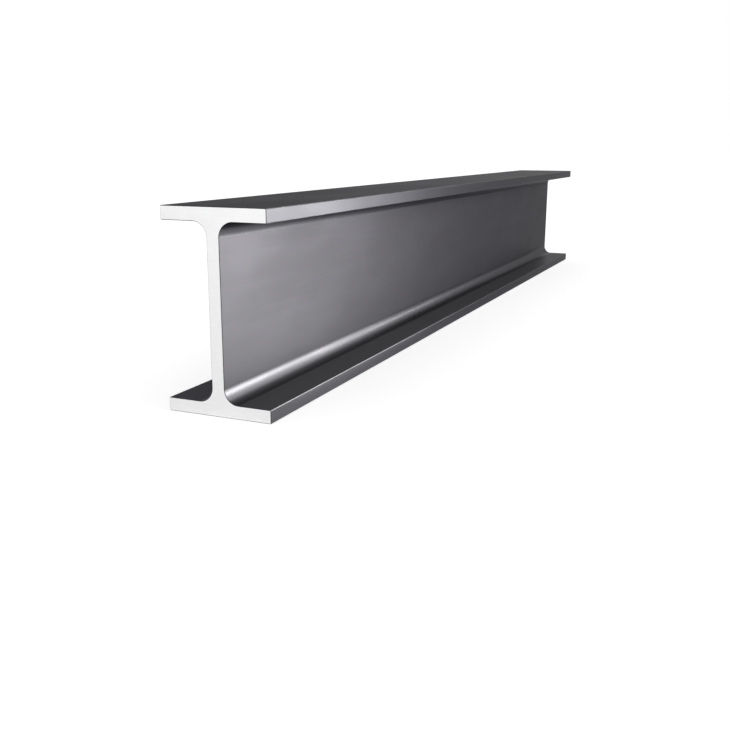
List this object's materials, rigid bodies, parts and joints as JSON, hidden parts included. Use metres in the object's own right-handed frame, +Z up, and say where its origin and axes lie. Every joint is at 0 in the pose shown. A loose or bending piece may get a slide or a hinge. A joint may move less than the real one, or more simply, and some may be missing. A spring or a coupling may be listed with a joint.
{
  "type": "steel h-beam",
  "caption": "Hot-rolled steel H-beam: a short straight length with parallel flanges, a thick central web and filleted roots, sawn square at its ends.",
  "frame": {"origin": "on the underside of the lower flange, below the middle of the beam", "axes": "+X along the beam, +Y across the flanges, +Z up from the lower flange to the upper one; the end that faces -X is the near one in the picture"},
  "size_m": [1.2, 0.1, 0.175],
  "materials": {
    "rolled_steel": "satin"
  },
  "bodies": {
    "root": {"h_beam": "rolled_steel"}
  },
  "joints": []
}
